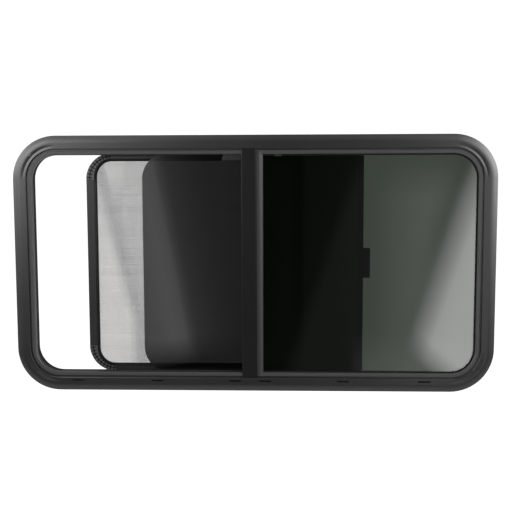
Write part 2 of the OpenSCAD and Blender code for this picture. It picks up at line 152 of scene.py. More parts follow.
# %% Trees and finishes
class Tree:
    """The node tree of a material or of the world."""

    def __init__(self, tree):
        self.tree = tree

    def feed(self, socket, value):
        """Links a Value to a socket, or sets the socket to a constant."""
        if isinstance(value, Value):
            self.tree.links.new(value.socket, socket)
        elif hasattr(value, "__len__") and len(value) == 3 and socket.type == "RGBA":
            socket.default_value = (*value, 1)
        else:
            socket.default_value = value

    def node(self, kind, settings=None, inputs=None):
        node = self.tree.nodes.new(kind)
        for key, value in (settings or {}).items():
            if key == "stops":
                self.set_stops(node.color_ramp.elements, value)
            else:
                setattr(node, key, value)
        for key, value in (inputs or {}).items():
            self.feed(node.inputs[key], value)
        return Outputs(self, node)

    def set_stops(self, stops, levels):
        """Gives a ramp its stops: pairs of a position and a grey level."""
        while len(stops) < len(levels):
            stops.new(1.0)
        for stop, (position, grey) in zip(stops, levels):
            stop.position = position
            stop.color = (grey, grey, grey, 1)

    def mix(self, factor, first, second):
        """Colour between two colours."""
        inputs = {0: factor, 6: first, 7: second}
        return self.node("ShaderNodeMix", {"data_type": "RGBA"}, inputs)[2]

    def ray_is(self, kind):
        """1 for rays of one kind, such as Glossy, and 0 for all others."""
        return self.node("ShaderNodeLightPath")["Is " + kind + " Ray"]

    def looks_through(self):
        """1 for rays from the eye, straight or through what lets light pass."""
        return self.ray_is("Camera") + self.ray_is("Transmission")


class Finish(Tree):
    """One material, with its shader's constants set by name."""

    def __init__(self, name, shader="ShaderNodeBsdfPrincipled", **constants):
        self.material = bpy.data.materials.new(name)
        self.material.use_nodes = True
        super().__init__(self.material.node_tree)
        self.tree.nodes.clear()
        self.shader = self.tree.nodes.new(shader)
        self.output = self.tree.nodes.new("ShaderNodeOutputMaterial")
        self.show(Value(self, self.shader.outputs[0]))
        self.place = self.node("ShaderNodeTexCoord")["Object"]
        self.set(**constants)

    def set(self, **inputs):
        for socket, value in inputs.items():
            self.feed(self.shader.inputs[socket.replace("_", " ")], value)

    def show(self, look):
        self.look = look
        self.feed(self.output.inputs["Surface"], look)

    def other(self, kind, colour):
        """A shader of another kind, in one colour."""
        return self.node(kind, None, {"Color": colour})[0]

    def between(self, factor, first, second):
        """What shows between two shaders."""
        return self.node("ShaderNodeMixShader", None, {0: factor, 1: first, 2: second})[0]

    def blend(self, factor, kind, colour):
        """Lets a shader of another kind take over by the factor."""
        self.show(self.between(factor, self.look, self.other(kind, colour)))

    def noise(self, size, detail=2.0, rough=0.5):
        """Cloudy pattern from 0 to 1, with blots of about the given size in metres."""
        return self.node("ShaderNodeTexNoise", None, {
            "Vector": self.place, "Scale": 1 / size, "Detail": detail, "Roughness": rough,
        })[0]

    def cells(self, size):
        """Distance to the nearest of points that lie about size apart, in cell widths."""
        inputs = {"Vector": self.place, "Scale": 1 / size}
        return self.node("ShaderNodeTexVoronoi", None, inputs)["Distance"]

    def fade(self, value, low, high):
        """0 below low, 1 above high, and even in between."""
        return self.node("ShaderNodeMapRange", None, {
            "Value": value, "From Min": low, "From Max": high,
        })["Result"]

    def level(self, value, profile):
        """The level at a place, from a list of places in metres with the level at each."""
        low, high = profile[0][0], profile[-1][0]
        brightest = max(bright for place, bright in profile)
        stops = [((place - low) / (high - low), bright / brightest) for place, bright in profile]
        along = self.fade(value, low, high)
        return brightest * self.node("ShaderNodeValToRGB", {"stops": stops}, {0: along})[0]

    def axis(self, name):
        """One coordinate of the place on the surface."""
        return self.node("ShaderNodeSeparateXYZ", None, {0: self.place})[name]

    def leaning(self, tilt):
        """Places across and along a line that leans to the right by tilt."""
        x, z = self.axis("X"), self.axis("Z")
        return x * math.cos(tilt) - z * math.sin(tilt), x * math.sin(tilt) + z * math.cos(tilt)

    def facing(self, name):
        """How far the surface faces along one axis, from -1 to 1."""
        normal = self.node("ShaderNodeNewGeometry")["Normal"]
        return self.node("ShaderNodeSeparateXYZ", None, {0: normal})[name]

    def relief(self, height, depth, rounding=None):
        """Feeds a bump of the given depth in metres, over edges rounded by a small radius."""
        inputs = {"Height": height, "Distance": depth, "Strength": 1.0}
        if rounding:
            inputs["Normal"] = self.node("ShaderNodeBevel", {"samples": 6}, {"Radius": rounding})[0]
        self.set(Normal=self.node("ShaderNodeBump", None, inputs)[0])


print("a finish can use", ", ".join(name for name in vars(Finish) if not name.startswith("_")))

# %% [markdown]
# The studio is a white room to the eye and a darker one to the glass. Product photographers
# light black windows with soft boxes high up at both sides and keep the wall behind the
# camera dark, so that the panes read as dark glass with a bright wedge at each side. The
# white background comes first: a plain floor and a plain world, white for rays from the
# eye and dimmer for the rest, so that the white throws no light onto the black frame.

# %% White background
FLOOR_Z = -1.0
FLOOR_FAR = 500
FLOOR_TONE = 0.8
ROOM_LIGHT = 0.25
WHITE = 1.1
WALL_END = 0.5


def plane(name, corners, finish):
    """One flat face of the studio."""
    mesh = bpy.data.meshes.new(name)
    mesh.from_pydata([tuple(c) for c in corners], [], [tuple(range(len(corners)))])
    mesh.materials.append(finish.material)
    thing = bpy.data.objects.new(name, mesh)
    bpy.context.scene.collection.objects.link(thing)
    return thing


def make_world():
    world = bpy.data.worlds.new("room")
    world.use_nodes = True
    bpy.context.scene.world = world
    room = Tree(world.node_tree)
    tone = room.mix(room.looks_through(), (ROOM_LIGHT,) * 3, (WHITE,) * 3)
    colour = room.mix(room.ray_is("Glossy"), tone, (WALL_END,) * 3)
    room.feed(world.node_tree.nodes["Background"].inputs["Color"], colour)


def make_floor():
    """White to the eye, with the light's part kept small so that only a faint shadow shows."""
    paint = Finish("floor_paint", Base_Color=(FLOOR_TONE,) * 3, Roughness=0.9)
    paint.set(Specular_IOR_Level=0.0, Emission_Strength=WHITE - FLOOR_TONE * ROOM_LIGHT)
    near = 0.9 * paint.fade(paint.axis("Y"), -2.6, -0.3) * paint.ray_is("Glossy")
    paint.set(Emission_Color=paint.mix(near + paint.looks_through(), (0, 0, 0), (1, 1, 1)))
    far, z = FLOOR_FAR, FLOOR_Z
    plane("floor", [(-far, -far, z), (far, -far, z), (far, far, z), (-far, far, z)], paint)


make_world()
make_floor()
print("white background, floor at", FLOOR_Z, "m")

# %% [markdown]
# Two area lamps stand for the soft boxes that light the frame. Small lamps would give the
# coat hard sparkles; a box of about a metre gives each edge one soft line. The right-hand
# one stands nearer to the wall's plane and is stronger, because it only grazes the flange.

# %% Lamps
LAMP_AIM = Vector((0, 0, 0.25))


def make_lamp(name, place, width, height, power):
    """A soft box that shines at the window and doesn't show itself to the eye."""
    data = bpy.data.lights.new(name, "AREA")
    data.shape = "RECTANGLE"
    data.size = width
    data.size_y = height
    data.energy = power
    lamp = bpy.data.objects.new(name, data)
    bpy.context.scene.collection.objects.link(lamp)
    lamp.location = place
    lamp.rotation_euler = (LAMP_AIM - Vector(place)).to_track_quat("-Z", "Y").to_euler()
    lamp.visible_camera = False
    print(name, power, "W")


make_lamp("lamp_left", (-1.3, -1.75, 0.8), 0.9, 1.2, 11)
make_lamp("lamp_right", (1.9, -0.8, 1.1), 0.9, 1.4, 20)

# %% [markdown]
# Glass and satin paint show the room more than the lamps. The rest of that room could be
# modelled, but only its reflections count, so walls and a ceiling that other rays don't
# see stand in for it: dark behind the camera, and pale at the sides, more so with height,
# where the light comes from.

# %% Walls and ceiling that only reflections see
ROOM = (3.5, -2.8, -0.15, -0.95, 2.6)
BACK_WALL = 0.012


def only_reflected(thing):
    for kind in ("camera", "diffuse", "transmission", "volume_scatter", "shadow"):
        setattr(thing, "visible_" + kind, False)


def make_wall(name, corners, axis, profile):
    """A wall whose light changes along one axis, with levels from the profile."""
    glow = Finish(name, "ShaderNodeEmission")
    glow.set(Color=glow.level(glow.axis(axis), profile))
    only_reflected(plane(name, corners, glow))


def make_room():
    x, y0, y1, z0, z1 = ROOM
    make_wall("back_wall", ((-x, y0, z0), (x, y0, z0), (x, y0, z1), (-x, y0, z1)), "Z",
              [(z0, BACK_WALL), (z1, BACK_WALL)])
    make_wall("left_wall", ((-x, y0, z0), (-x, y1, z0), (-x, y1, z1), (-x, y0, z1)), "Z",
              [(z0, 0.1), (-0.3, 0.12), (0.0, 0.35), (0.35, 2.0), (0.8, 6.8), (z1, 8.0)])
    make_wall("right_wall", ((x, y0, z0), (x, y1, z0), (x, y1, z1), (x, y0, z1)), "Z",
              [(z0, 0.3), (-0.3, 0.6), (0.0, 1.6), (0.35, 5.5), (0.8, 8.5), (z1, 6.5)])
    make_wall("ceiling", ((-x, y0, z1), (x, y0, z1), (x, y1, z1), (-x, y1, z1)), "X",
              [(-x, 3.0), (-1.2, 2.5), (-0.6, 1.6), (0.0, 0.2), (0.8, 1.1), (1.4, 1.8), (x, 3.0)])


make_room()
print("room", 2 * ROOM[0], "m wide and", round(ROOM[4] - ROOM[3], 2), "m high")

# %% [markdown]
# The bright wedge in each pane is the edge of a soft box. A card with a hard edge would
# look like a sticker, so each card glows by the place across it: the light rises over a
# few centimetres, and the line where it rises leans. The fixed pane shows its own card on
# the right, and the sliding pane a dimmer one on the left.

# %% Cards for the panes
CARD_Y = -2.0
CARD_FOOT = -0.95
CARD_TOP = 1.1
RIGHT_LEAN = math.radians(18.5)
LEFT_LEAN = math.radians(-10.6)


def make_card(name, place, left, right, top, glow):
    """An upright card across the view, with its finish, whose places count from place."""
    foot = CARD_FOOT
    card = plane(name, ((left, 0, foot), (right, 0, foot), (right, 0, top), (left, 0, top)), glow)
    card.location = place
    only_reflected(card)


def card_ends(glow):
    """Lets a pane's card fade out towards its foot and its top."""
    z = glow.axis("Z")
    return glow.fade(z, CARD_TOP, 0.98) * glow.fade(z, -0.9, -0.6)


def make_right_card():
    """A bright wedge that leans to the right over a paler wall, as the fixed pane shows."""
    glow = Finish("card_right", "ShaderNodeEmission")
    x, z = glow.axis("X"), glow.axis("Z")
    across, along = glow.leaning(RIGHT_LEAN)
    wedge = glow.level(across, [(-0.05, 0.0), (-0.035, 0.1), (0.03, 2.0), (0.08, 3.95), (0.14, 4.3),
                                (1.0, 4.3)])
    wedge = wedge * glow.fade(along + 0.4 * across, -0.40, -0.28) * glow.fade(x, 0.193, 0.153)
    wall = glow.level(x, [(-0.46, 0.0), (-0.32, 0.04), (-0.267, 0.12), (-0.2, 0.32), (-0.13, 0.5),
                          (-0.065, 0.62), (0.15, 0.7)])
    dip = glow.level(across, [(-0.14, 0.0), (-0.06, 0.5), (-0.01, 0.0)]) * glow.fade(z, -0.05, 0.25)
    wall = wall * glow.fade(z, 0.55, 0.33) * (1 - dip)
    band = glow.level(across, [(-0.75, 0.0), (-0.53, 0.015), (-0.465, 0.09), (-0.1, 0.08),
                               (-0.05, 0.0)])
    below = 0.25 * glow.fade(z, -0.27, -0.41) * glow.fade(x, -0.4, -0.31)
    glow.set(Color=BACK_WALL + (wedge + wall + band + below) * card_ends(glow))
    make_card("card_right", (0.757, CARD_Y, 0.0), -0.8, 0.2, CARD_TOP, glow)


def make_left_card():
    """A dimmer wedge that leans to the left, as the sliding pane shows."""
    glow = Finish("card_left", "ShaderNodeEmission")
    across, along = glow.leaning(LEFT_LEAN)
    wedge = glow.level(across, [(-0.42, 0.1), (-0.3, 0.5), (-0.15, 0.8), (-0.06, 1.0),
                                (-0.01, 0.85), (0.015, 0.5), (0.05, 0.26), (0.1, 0.17),
                                (0.16, 0.1), (0.22, 0.05), (0.4, 0.0)])
    wedge = wedge * glow.fade(along, -0.43, -0.3)
    below = 0.5 * glow.fade(glow.axis("Z"), -0.44, -0.6)
    glow.set(Color=BACK_WALL + (wedge + below) * card_ends(glow))
    make_card("card_left", (-0.436, CARD_Y - 0.01, 0.0), -0.5, 0.4, CARD_TOP, glow)


make_right_card()
make_left_card()
print("lean in degrees", [round(math.degrees(lean), 1) for lean in (RIGHT_LEAN, LEFT_LEAN)])

# %% [markdown]
# The flange is curved, so it looks past the panes' cards to both sides and upwards, and
# a long soft line runs round each upper corner. Two taller cards farther out give that
# line; they fade towards the sill, which stays dark.

# %% Cards for the curved flange
FAR_TOP = 2.8


def make_far_card(name, side, profile, bottom, full):
    """A soft box beside the camera: levels across it, and full light from a height on."""
    glow = Finish(name, "ShaderNodeEmission")
    x, z = glow.axis("X"), glow.axis("Z")
    ends = glow.fade(z, bottom, full) * glow.fade(z, FAR_TOP, 1.7)
    glow.set(Color=BACK_WALL + glow.level(x, profile) * ends)
    make_card(name, (side, CARD_Y - 0.02, 0.0), profile[0][0], profile[-1][0], FAR_TOP, glow)


make_far_card("card_far_right", 1.0, [(0.0, 0.6), (0.25, 5.5), (2.3, 7.5)], -0.2, 0.9)
make_far_card("card_far_left", -1.4, [(-1.7, 6.5), (0.25, 6.5), (0.5, 0.3)], 0.3, 0.85)
print("far cards up to", FAR_TOP, "m")

# %% [markdown]
# The packed pieces keep their exact shape, but their faces arrive one by one, so the curved
# flange would show its facets. A modifier is the gentle way to smooth them, because it
# leaves the stored mesh alone: the nodes below merge the doubled points, smooth all faces,
# and keep an edge sharp where it turns by more than a set angle.

# %% Smooth shading for the packed pieces
SHARP_ANGLE = math.radians(24)
SAME_POINT = 0.001 * MM


def make_smoother():
    group = bpy.data.node_groups.new("smoother", "GeometryNodeTree")
    for way in ("INPUT", "OUTPUT"):
        group.interface.new_socket("Geometry", in_out=way, socket_type="NodeSocketGeometry")
    start = group.nodes.new("NodeGroupInput")
    end = group.nodes.new("NodeGroupOutput")
    loose = group.nodes.new("GeometryNodeRemoveAttribute")
    loose.inputs["Name"].default_value = "custom_normal"
    merged = group.nodes.new("GeometryNodeMergeByDistance")
    merged.inputs["Distance"].default_value = SAME_POINT
    smooth = group.nodes.new("GeometryNodeSetShadeSmooth")
    smooth.domain = "FACE"
    sharp = group.nodes.new("GeometryNodeSetShadeSmooth")
    sharp.domain = "EDGE"
    sharp.inputs["Shade Smooth"].default_value = False
    angle = group.nodes.new("GeometryNodeInputMeshEdgeAngle")
    turns = group.nodes.new("FunctionNodeCompare")
    turns.operation = "GREATER_THAN"
    turns.inputs["B"].default_value = SHARP_ANGLE
    chain = [start, loose, merged, smooth, sharp, end]
    for first, second in zip(chain, chain[1:]):
        group.links.new(first.outputs[0], second.inputs[0])
    group.links.new(angle.outputs["Unsigned Angle"], turns.inputs["A"])
    group.links.new(turns.outputs[0], sharp.inputs["Selection"])
    return group


smoother = make_smoother()


def smooth(thing):
    """Shades a piece smooth, apart from its sharp edges."""
    thing.modifiers.new("smoother", "NODES").node_group = smoother


def dress(finish, *names):
    """Gives packed pieces their finish and smooth shading."""
    for name in names:
        packed = nodes[name]
        packed.data.materials.clear()
        packed.data.materials.append(finish.material)
        smooth(packed)
    print(finish.material.name, "on", ", ".join(names))


print("edges stay sharp above", round(math.degrees(SHARP_ANGLE)), "degrees")

# %% [markdown]
# The coat isn't the same all over the frame. The lip beside the panes is matt, and painted paler
# for the light that its rounded edge catches. The drain slots and the groove of the screen's bars
# are painted almost black, as painted shade, since little light gets into them. Those parts belong
# to larger packed pieces, so they could be cut out as faces of their own; a mask is gentler. It
# asks how far a place lies inside the piece's rounded outline.

# %% Masks for lip, slots and groove
CORNER_R = 87 * MM
LIP_FROM = 30.4 * MM
LIP_TO = 38.5 * MM
OPENING_R = 31.5 * MM
GROOVE_W = 5.5 * MM
SLOT_FROM = 19.2 * MM
SLOT_TO = 22.8 * MM
SLOT_FLOOR = 0.3 * MM
frame_low, frame_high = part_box("outer_frame")


def inside_edge(finish, name, radius):
    """How far in from the edge of a piece's box, with its corners rounded, a place lies."""
    low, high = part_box(name)
    x = abs(finish.axis("X") - (low.x + high.x) / 2) - ((high.x - low.x) / 2 - radius)
    z = abs(finish.axis("Z") - (low.z + high.z) / 2) - ((high.z - low.z) / 2 - radius)
    beyond_x = x.math("MAXIMUM", x, 0.0)
    beyond_z = x.math("MAXIMUM", z, 0.0)
    round_part = (beyond_x * beyond_x + beyond_z * beyond_z) ** 0.5
    straight_part = x.math("MINIMUM", x.math("MAXIMUM", x, z), 0.0)
    return radius - round_part - straight_part


def lip_matt_and_painted_light(finish):
    """1 on the lip that borders the panes, which is matt and painted paler than the flange, as
    painted light for what its edge catches.
    """
    depth = inside_edge(finish, "outer_frame", CORNER_R)
    return (depth > LIP_FROM) * (depth < LIP_TO) * (finish.axis("Y") < 0.0)


def drain_slot_painted_shade(finish):
    """1 on the walls and the floor of the drain slots, which are painted almost black as painted
    shade, since no light reaches them.
    """
    depth = inside_edge(finish, "outer_frame", CORNER_R)
    sill = finish.axis("Z") < frame_low.z + 2 * SLOT_TO
    straight = abs(finish.axis("X")) < frame_high.x - 1.2 * CORNER_R
    deep = finish.axis("Y") > frame_low.y + SLOT_FLOOR
    return (depth > SLOT_FROM) * (depth < SLOT_TO) * sill * straight * deep


def groove_painted_shade(finish):
    """1 on the inner strip of the screen's bars, where the spline is pressed in; the strip is
    painted dark as painted shade.
    """
    return inside_edge(finish, "screen_mesh", OPENING_R) > -GROOVE_W


print("the lip lies", [round(v / MM, 1) for v in (LIP_FROM, LIP_TO)], "mm from the edge")

# %% [markdown]
# Powder coat is paint melted onto the metal. From near by it has a fine orange-peel
# surface; from further off it is an even satin black. An image of real paint could be
# used, but noise at two sizes gives the same relief without any file, and the tone itself
# drifts a little with a third. The bead and the screen's top rail are a little paler than
# the frame, and the mullion and the pane's stile darker.

# %% Powder coat
PEEL = 1.3 * MM
PEEL_DEPTH = 0.025 * MM
COAT_ROUNDING = 0.35 * MM


def powder_coat(name, deep, pale, rough, gloss=0.5, parts=()):
    """Coat between two tones; each of the parts is a mask with a matt tone and its share, which
    paints light or shade onto the coat.
    """
    coat = Finish(name, Metallic=0.0, Specular_IOR_Level=gloss)
    cloud = coat.noise(90 * MM, 3)
    speck = coat.noise(0.5 * MM, 1)
    peel = coat.noise(PEEL, 1)
    coat.set(Base_Color=coat.mix(cloud * 0.7 + speck * 0.3, (deep,) * 3, (pale,) * 3))
    coat.set(Roughness=rough - 0.05 + 0.06 * cloud + 0.04 * speck)
    for mask, tone, share in parts:
        coat.blend(share * mask(coat), "ShaderNodeBsdfDiffuse", (tone,) * 3)
    coat.relief(peel * 0.7 + speck * 0.3, PEEL_DEPTH, COAT_ROUNDING)
    return coat


# The groove of the screen's bars is painted dark, as painted shade.
groove_shade_part = [(groove_painted_shade, 0.006, 0.6)]
# The lip is matt and painted paler, as painted light; the drain slots are painted almost black, as
# painted shade.
dress(powder_coat("frame_coat", 0.006, 0.01, 0.35,
                  parts=[(lip_matt_and_painted_light, 0.14, 0.6), (drain_slot_painted_shade, 0.001, 1.0)]),
      "outer_frame", "clamp_ring")
dress(powder_coat("mullion_coat", 0.004, 0.006, 0.36, gloss=0.25), "mullion")
dress(powder_coat("bead_coat", 0.042, 0.055, 0.42, gloss=0.2), "glazing_bead")
dress(powder_coat("screen_coat", 0.006, 0.01, 0.38, gloss=0.4, parts=groove_shade_part),
      "screen_left_stile", "screen_right_stile", "screen_bottom_rail")
dress(powder_coat("rail_coat", 0.035, 0.045, 0.38, gloss=0.4, parts=groove_shade_part), "screen_top_rail")
dress(powder_coat("stile_coat", 0.001, 0.001, 0.42, gloss=0.15), "sash_stile")

# %% [markdown]
# Moulded plastic carries the fine spark-eroded grain of its tool, shallow pits close together, with
# a faint sheen. Noise would look like paint, so the pits come from a Voronoi pattern. The same
# function serves the latch, the blocks, the filler and the screen's corner keys. The keys' slots
# are painted almost black as painted shade, and the keys' paler tone stands in part for painted
# glints on their ribs; otherwise only the tone and the size of the grain differ.

# %% Moulded plastic
PIT_DEPTH = 0.03 * MM
SOFT_ROUNDING = 0.3 * MM
KEY_FACE = 0.4 * MM
KEY_FLOOR = 2 * MM


def moulded(name, tone, rough, grain, deep_painted_shade=None, gloss=0.45):
    """Plastic of one grey; an optional mask marks parts that lie deep, which are painted almost
    black as painted shade.
    """
    plastic = Finish(name, Specular_IOR_Level=gloss)
    pits = plastic.cells(grain)
    cloud = plastic.noise(30 * MM)
    plastic.set(Base_Color=plastic.mix(cloud, (0.8 * tone,) * 3, (1.2 * tone,) * 3))
    plastic.set(Roughness=rough - 0.04 + 0.08 * pits)
    if deep_painted_shade:
        # Painted shade: the deep parts turn almost black.
        plastic.blend(0.85 * deep_painted_shade(plastic), "ShaderNodeBsdfDiffuse", (0.002, 0.002, 0.002))
    plastic.relief(pits, PIT_DEPTH, SOFT_ROUNDING)
    return plastic


def key_slot_painted_shade(finish):
    """1 in the slots of a corner key and on its inner strip, which holds the spline too; both are
    painted almost black as painted shade.
    """
    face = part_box("screen_corner_top_left")[0].y
    sunk = (finish.axis("Y") > face + KEY_FACE) * (finish.axis("Y") < face + KEY_FLOOR)
    return sunk.math("MAXIMUM", sunk, groove_painted_shade(finish))


dress(moulded("latch_plastic", 0.001, 0.42, 0.4 * MM, gloss=0.2), "sash_latch", "latch_lever")
dress(moulded("block_plastic", 0.006, 0.36, 0.5 * MM), "head_block", "glazing_clip")
dress(moulded("filler_plastic", 0.012, 0.45, 0.5 * MM), "pocket_filler")
# The keys' pale tone stands in part for painted glints on the ribs.
dress(moulded("key_plastic", 0.1, 0.3, 0.6 * MM, key_slot_painted_shade),
      "screen_corner_top_left", "screen_corner_bottom_left",
      "screen_corner_top_right", "screen_corner_bottom_right")

# %% [markdown]
# Rubber is duller than plastic: it has a dusty bloom on its high places and a skin
# without gloss. The run channels are lined with flock, short fibres that look like felt.
# Real fibres would be far too many, so the channels get a finer and deeper relief than
# the gasket and the stops.

# %% Rubber and flock
def rubber(name, tone, rough, grain, depth, gloss=0.3):
    """Rubber of one grey, with a fine relief of the given grain and depth."""
    skin = Finish(name, Specular_IOR_Level=gloss)
    bloom = skin.noise(12 * MM, 4, 0.6)
    fine = skin.noise(grain, 2, 0.7)
    skin.set(Base_Color=skin.mix(bloom * 0.6 + fine * 0.4, (tone,) * 3, (1.9 * tone,) * 3))
    skin.set(Roughness=rough + 0.1 * fine)
    skin.relief(fine, depth, SOFT_ROUNDING)
    return skin


dress(rubber("gasket_rubber", 0.004, 0.7, 0.8 * MM, 0.04 * MM, 0.12), "fixed_gasket")
dress(rubber("flocked_channel", 0.006, 0.8, 0.25 * MM, 0.12 * MM),
      "sash_run_channel", "screen_run_channel")
dress(rubber("stop_rubber", 0.008, 0.65, 0.8 * MM, 0.04 * MM),
      "sash_end_stops", "screen_end_stops")

# %% [markdown]
# The seal behind the flange is closed-cell foam: a dark, matt strip whose cut face shows small
# round cells. Cells are what a Voronoi texture draws, so its distance makes the pits, and paints
# their floors darker as painted shade.

# %% Foam seal
PORE = 0.9 * MM
PORE_DEPTH = 0.25 * MM


def foam():
    strip = Finish("seal_foam", Roughness=0.95, Specular_IOR_Level=0.15)
    wall = strip.fade(strip.cells(PORE), 0.1, 0.6)
    # Painted shade: the pit floors are darker.
    strip.set(Base_Color=strip.mix(wall, (0.015, 0.015, 0.016), (0.03, 0.03, 0.032)))
    strip.relief(wall, PORE_DEPTH)
    return strip


dress(foam(), "flange_seal")

# %% [markdown]
# Privacy glass lets only a few hundredths of the light through, with a trace of green.
# Real refraction would need many bounces and a flat pane barely bends the view, so each
# face is partly see-through instead: two faces in a row give the pane's darkness, and a
# small share of a green see-through shader gives its tint. A pane mirrors with both of its
# faces, so its gloss is set above that of one face. The sliding pane is the darker of the
# two. The ground edge isn't polished, so there the pane is opaque, rough and paler.

# %% Tinted glass
EDGE_FACING = 0.7
FACE_GLOSS = 0.8
GREEN = (0.46, 1.0, 0.42)


def tinted_glass(name, face_alpha, deep, pale, green=0.0):
    """Two see-through faces; green is the share of each that lets green light pass."""
    glass = Finish(name, IOR=1.52, Specular_IOR_Level=FACE_GLOSS)
    ground = 1 - (abs(glass.facing("Y")) > EDGE_FACING)
    smear = glass.noise(60 * MM, 3, 0.6)
    body = glass.mix(smear, deep, pale)
    glass.set(Base_Color=glass.mix(ground, body, (0.05, 0.065, 0.058)))
    glass.set(Roughness=0.015 + 0.01 * smear + 0.4 * ground)
    glass.set(Alpha=face_alpha + (1 - face_alpha) * ground)
    glass.blend(green * (1 - ground), "ShaderNodeBsdfTransparent", GREEN)
    return glass


dress(tinted_glass("tinted_glass", 0.828, (0.0015, 0.003, 0.0015), (0.0025, 0.004, 0.0025),
                   green=0.04), "fixed_glass")
dress(tinted_glass("darker_glass", 0.842, (0.0015, 0.002, 0.0012), (0.002, 0.003, 0.0018)),
      "sash_glass")

# %% [markdown]
# What is too fine for the packed frame is made here from points and faces. Blender's own tools
# could add each rod by hand, but a list of points is exact and makes the same piece every time. A
# new piece rides on the body that carries it, has a material slot, and hides the plain packed piece
# that it replaces.

# %% Making a piece from points and faces
def piece(name, points, faces, finish, body, replaced, smooth_faces=False):
    """A piece of points and faces that stands for a packed one and rides on its body."""
    mesh = bpy.data.meshes.new(name)
    mesh.from_pydata(points, [], faces)
    mesh.polygons.foreach_set("use_smooth", [smooth_faces] * len(faces))
    mesh.materials.append(finish.material)
    thing = bpy.data.objects.new(name, mesh)
    bpy.context.scene.collection.objects.link(thing)
    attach(thing, body)
    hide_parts(replaced)
    print(name, len(points), "points,", len(faces), "faces on", body)
    return thing


def ring(centre, first_axis, second_axis, radius, sides, start=0.0):
    """Points round a centre, from an angle that is given as a share of one side."""
    turns = [2 * math.pi * (k + start) / sides for k in range(sides)]
    return [centre + radius * (math.cos(t) * first_axis + math.sin(t) * second_axis) for t in turns]


def ring_faces(first, rows, sides):
    """Quads between rows of points that close round."""
    return [(first + r * sides + c, first + r * sides + (c + 1) % sides,
             first + (r + 1) * sides + (c + 1) % sides, first + (r + 1) * sides + c)
            for r in range(rows - 1) for c in range(sides)]


X_AXIS, Y_AXIS, Z_AXIS = Vector((1, 0, 0)), Vector((0, 1, 0)), Vector((0, 0, 1))
print("a ring of six has", len(ring_faces(0, 2, 6)), "walls")

# %% [markdown]
# The fly screen's mesh is woven from coated glass-fibre yarn, fused where the yarns
# cross. It could be a see-through texture on a flat sheet, but real yarns hold up from
# any distance and angle, and straight ones cost little: a prism with a few sides for each.
# The rounded corners of the screen shorten the outer yarns, and each ends in the spline.
# No two yarns are quite as thick, and the ones across vary more than the upright ones.

# %% Weaving the mesh
MESH_PITCH = 1.25 * MM
YARN_D = 0.57 * MM
YARN_SIDES = 6
WARP_SPREAD = 0.07
WEFT_SPREAD = 0.13
INTO_SPLINE = 0.6 * MM
HALF_WEAVE = 0.2 * YARN_D
mesh_low, mesh_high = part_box("screen_mesh")
mesh_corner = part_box("screen_corner_top_left")[1].x - mesh_low.x


def add_yarn(points, faces, start, end, thickness):
    """Adds a thin prism between two points, closed at both ends."""
    side = (end - start).normalized().cross(Y_AXIS)
    first = len(points)
    for centre in (start, end):
        points.extend(ring(centre, side, Y_AXIS, thickness / 2, YARN_SIDES, 0.5))
    faces.extend(ring_faces(first, 2, YARN_SIDES))
    faces.append(tuple(first + k for k in reversed(range(YARN_SIDES))))
    faces.append(tuple(first + YARN_SIDES + k for k in range(YARN_SIDES)))


def corner_cut(distance):
    """How much a yarn is shortened at that distance from the start of a rounded corner."""
    inside = max(0.0, mesh_corner - distance)
    return mesh_corner - math.sqrt(max(0.0, mesh_corner ** 2 - inside ** 2)) - INTO_SPLINE


def yarns(low, high, spread, draw):
    """The place and thickness of each yarn between two edges."""
    for k in range(int((high - low) / MESH_PITCH)):
        yield low + (k + 1) * MESH_PITCH, YARN_D * (1 + draw.uniform(-spread, spread))


def weave():
    """The points and faces of all yarns, upright ones first."""
    draw = random.Random(5)
    points, faces = [], []
    left, right, bottom, top = mesh_low.x, mesh_high.x, mesh_low.z, mesh_high.z
    front = (mesh_low.y + mesh_high.y) / 2 - HALF_WEAVE
    for x, thickness in yarns(left, right, WARP_SPREAD, draw):
        cut = corner_cut(x - left)
        ends = Vector((x, front, bottom + cut)), Vector((x, front, top - cut))
        add_yarn(points, faces, *ends, thickness)
    back = front + 2 * HALF_WEAVE
    for z, thickness in yarns(bottom, top, WEFT_SPREAD, draw):
        cut = corner_cut(min(z - bottom, top - z))
        ends = Vector((left + cut, back, z)), Vector((right + INTO_SPLINE, back, z))
        add_yarn(points, faces, *ends, thickness)
    return points, faces


mesh_points, mesh_faces = weave()
print(len(mesh_points) // (2 * YARN_SIDES), "yarns, corners", round(mesh_corner / MM, 1), "mm")

# %% [markdown]
# Daylight seeps through the yarns' coating: a share of the coating is a translucent shader, which a
# mask mixes with black. That mask is painted shade and light: a soft dark band runs down the mesh
# from the upper left corner, the mesh is painted a little darker on its right, and a little lighter
# near its upper left edge. No fold is modelled, since that would pull the mesh out of its frame.
# The sheet's flat size is the opening inside the spline.

# %% Fly screen mesh
SHADE_BAND_LEAN = math.radians(-14.4)
SHADE_BAND_PLACE = -0.194
SHADE_BAND_END = -0.2332
SHADE_BAND = [(-0.026, 0.95), (-0.014, 0.74), (0.0, 0.05), (0.01, 0.27), (0.022, 0.5), (0.034, 0.55)]
SEEP_SHARE = 0.66
SEEPING_LIGHT = (1, 0.985, 0.975)


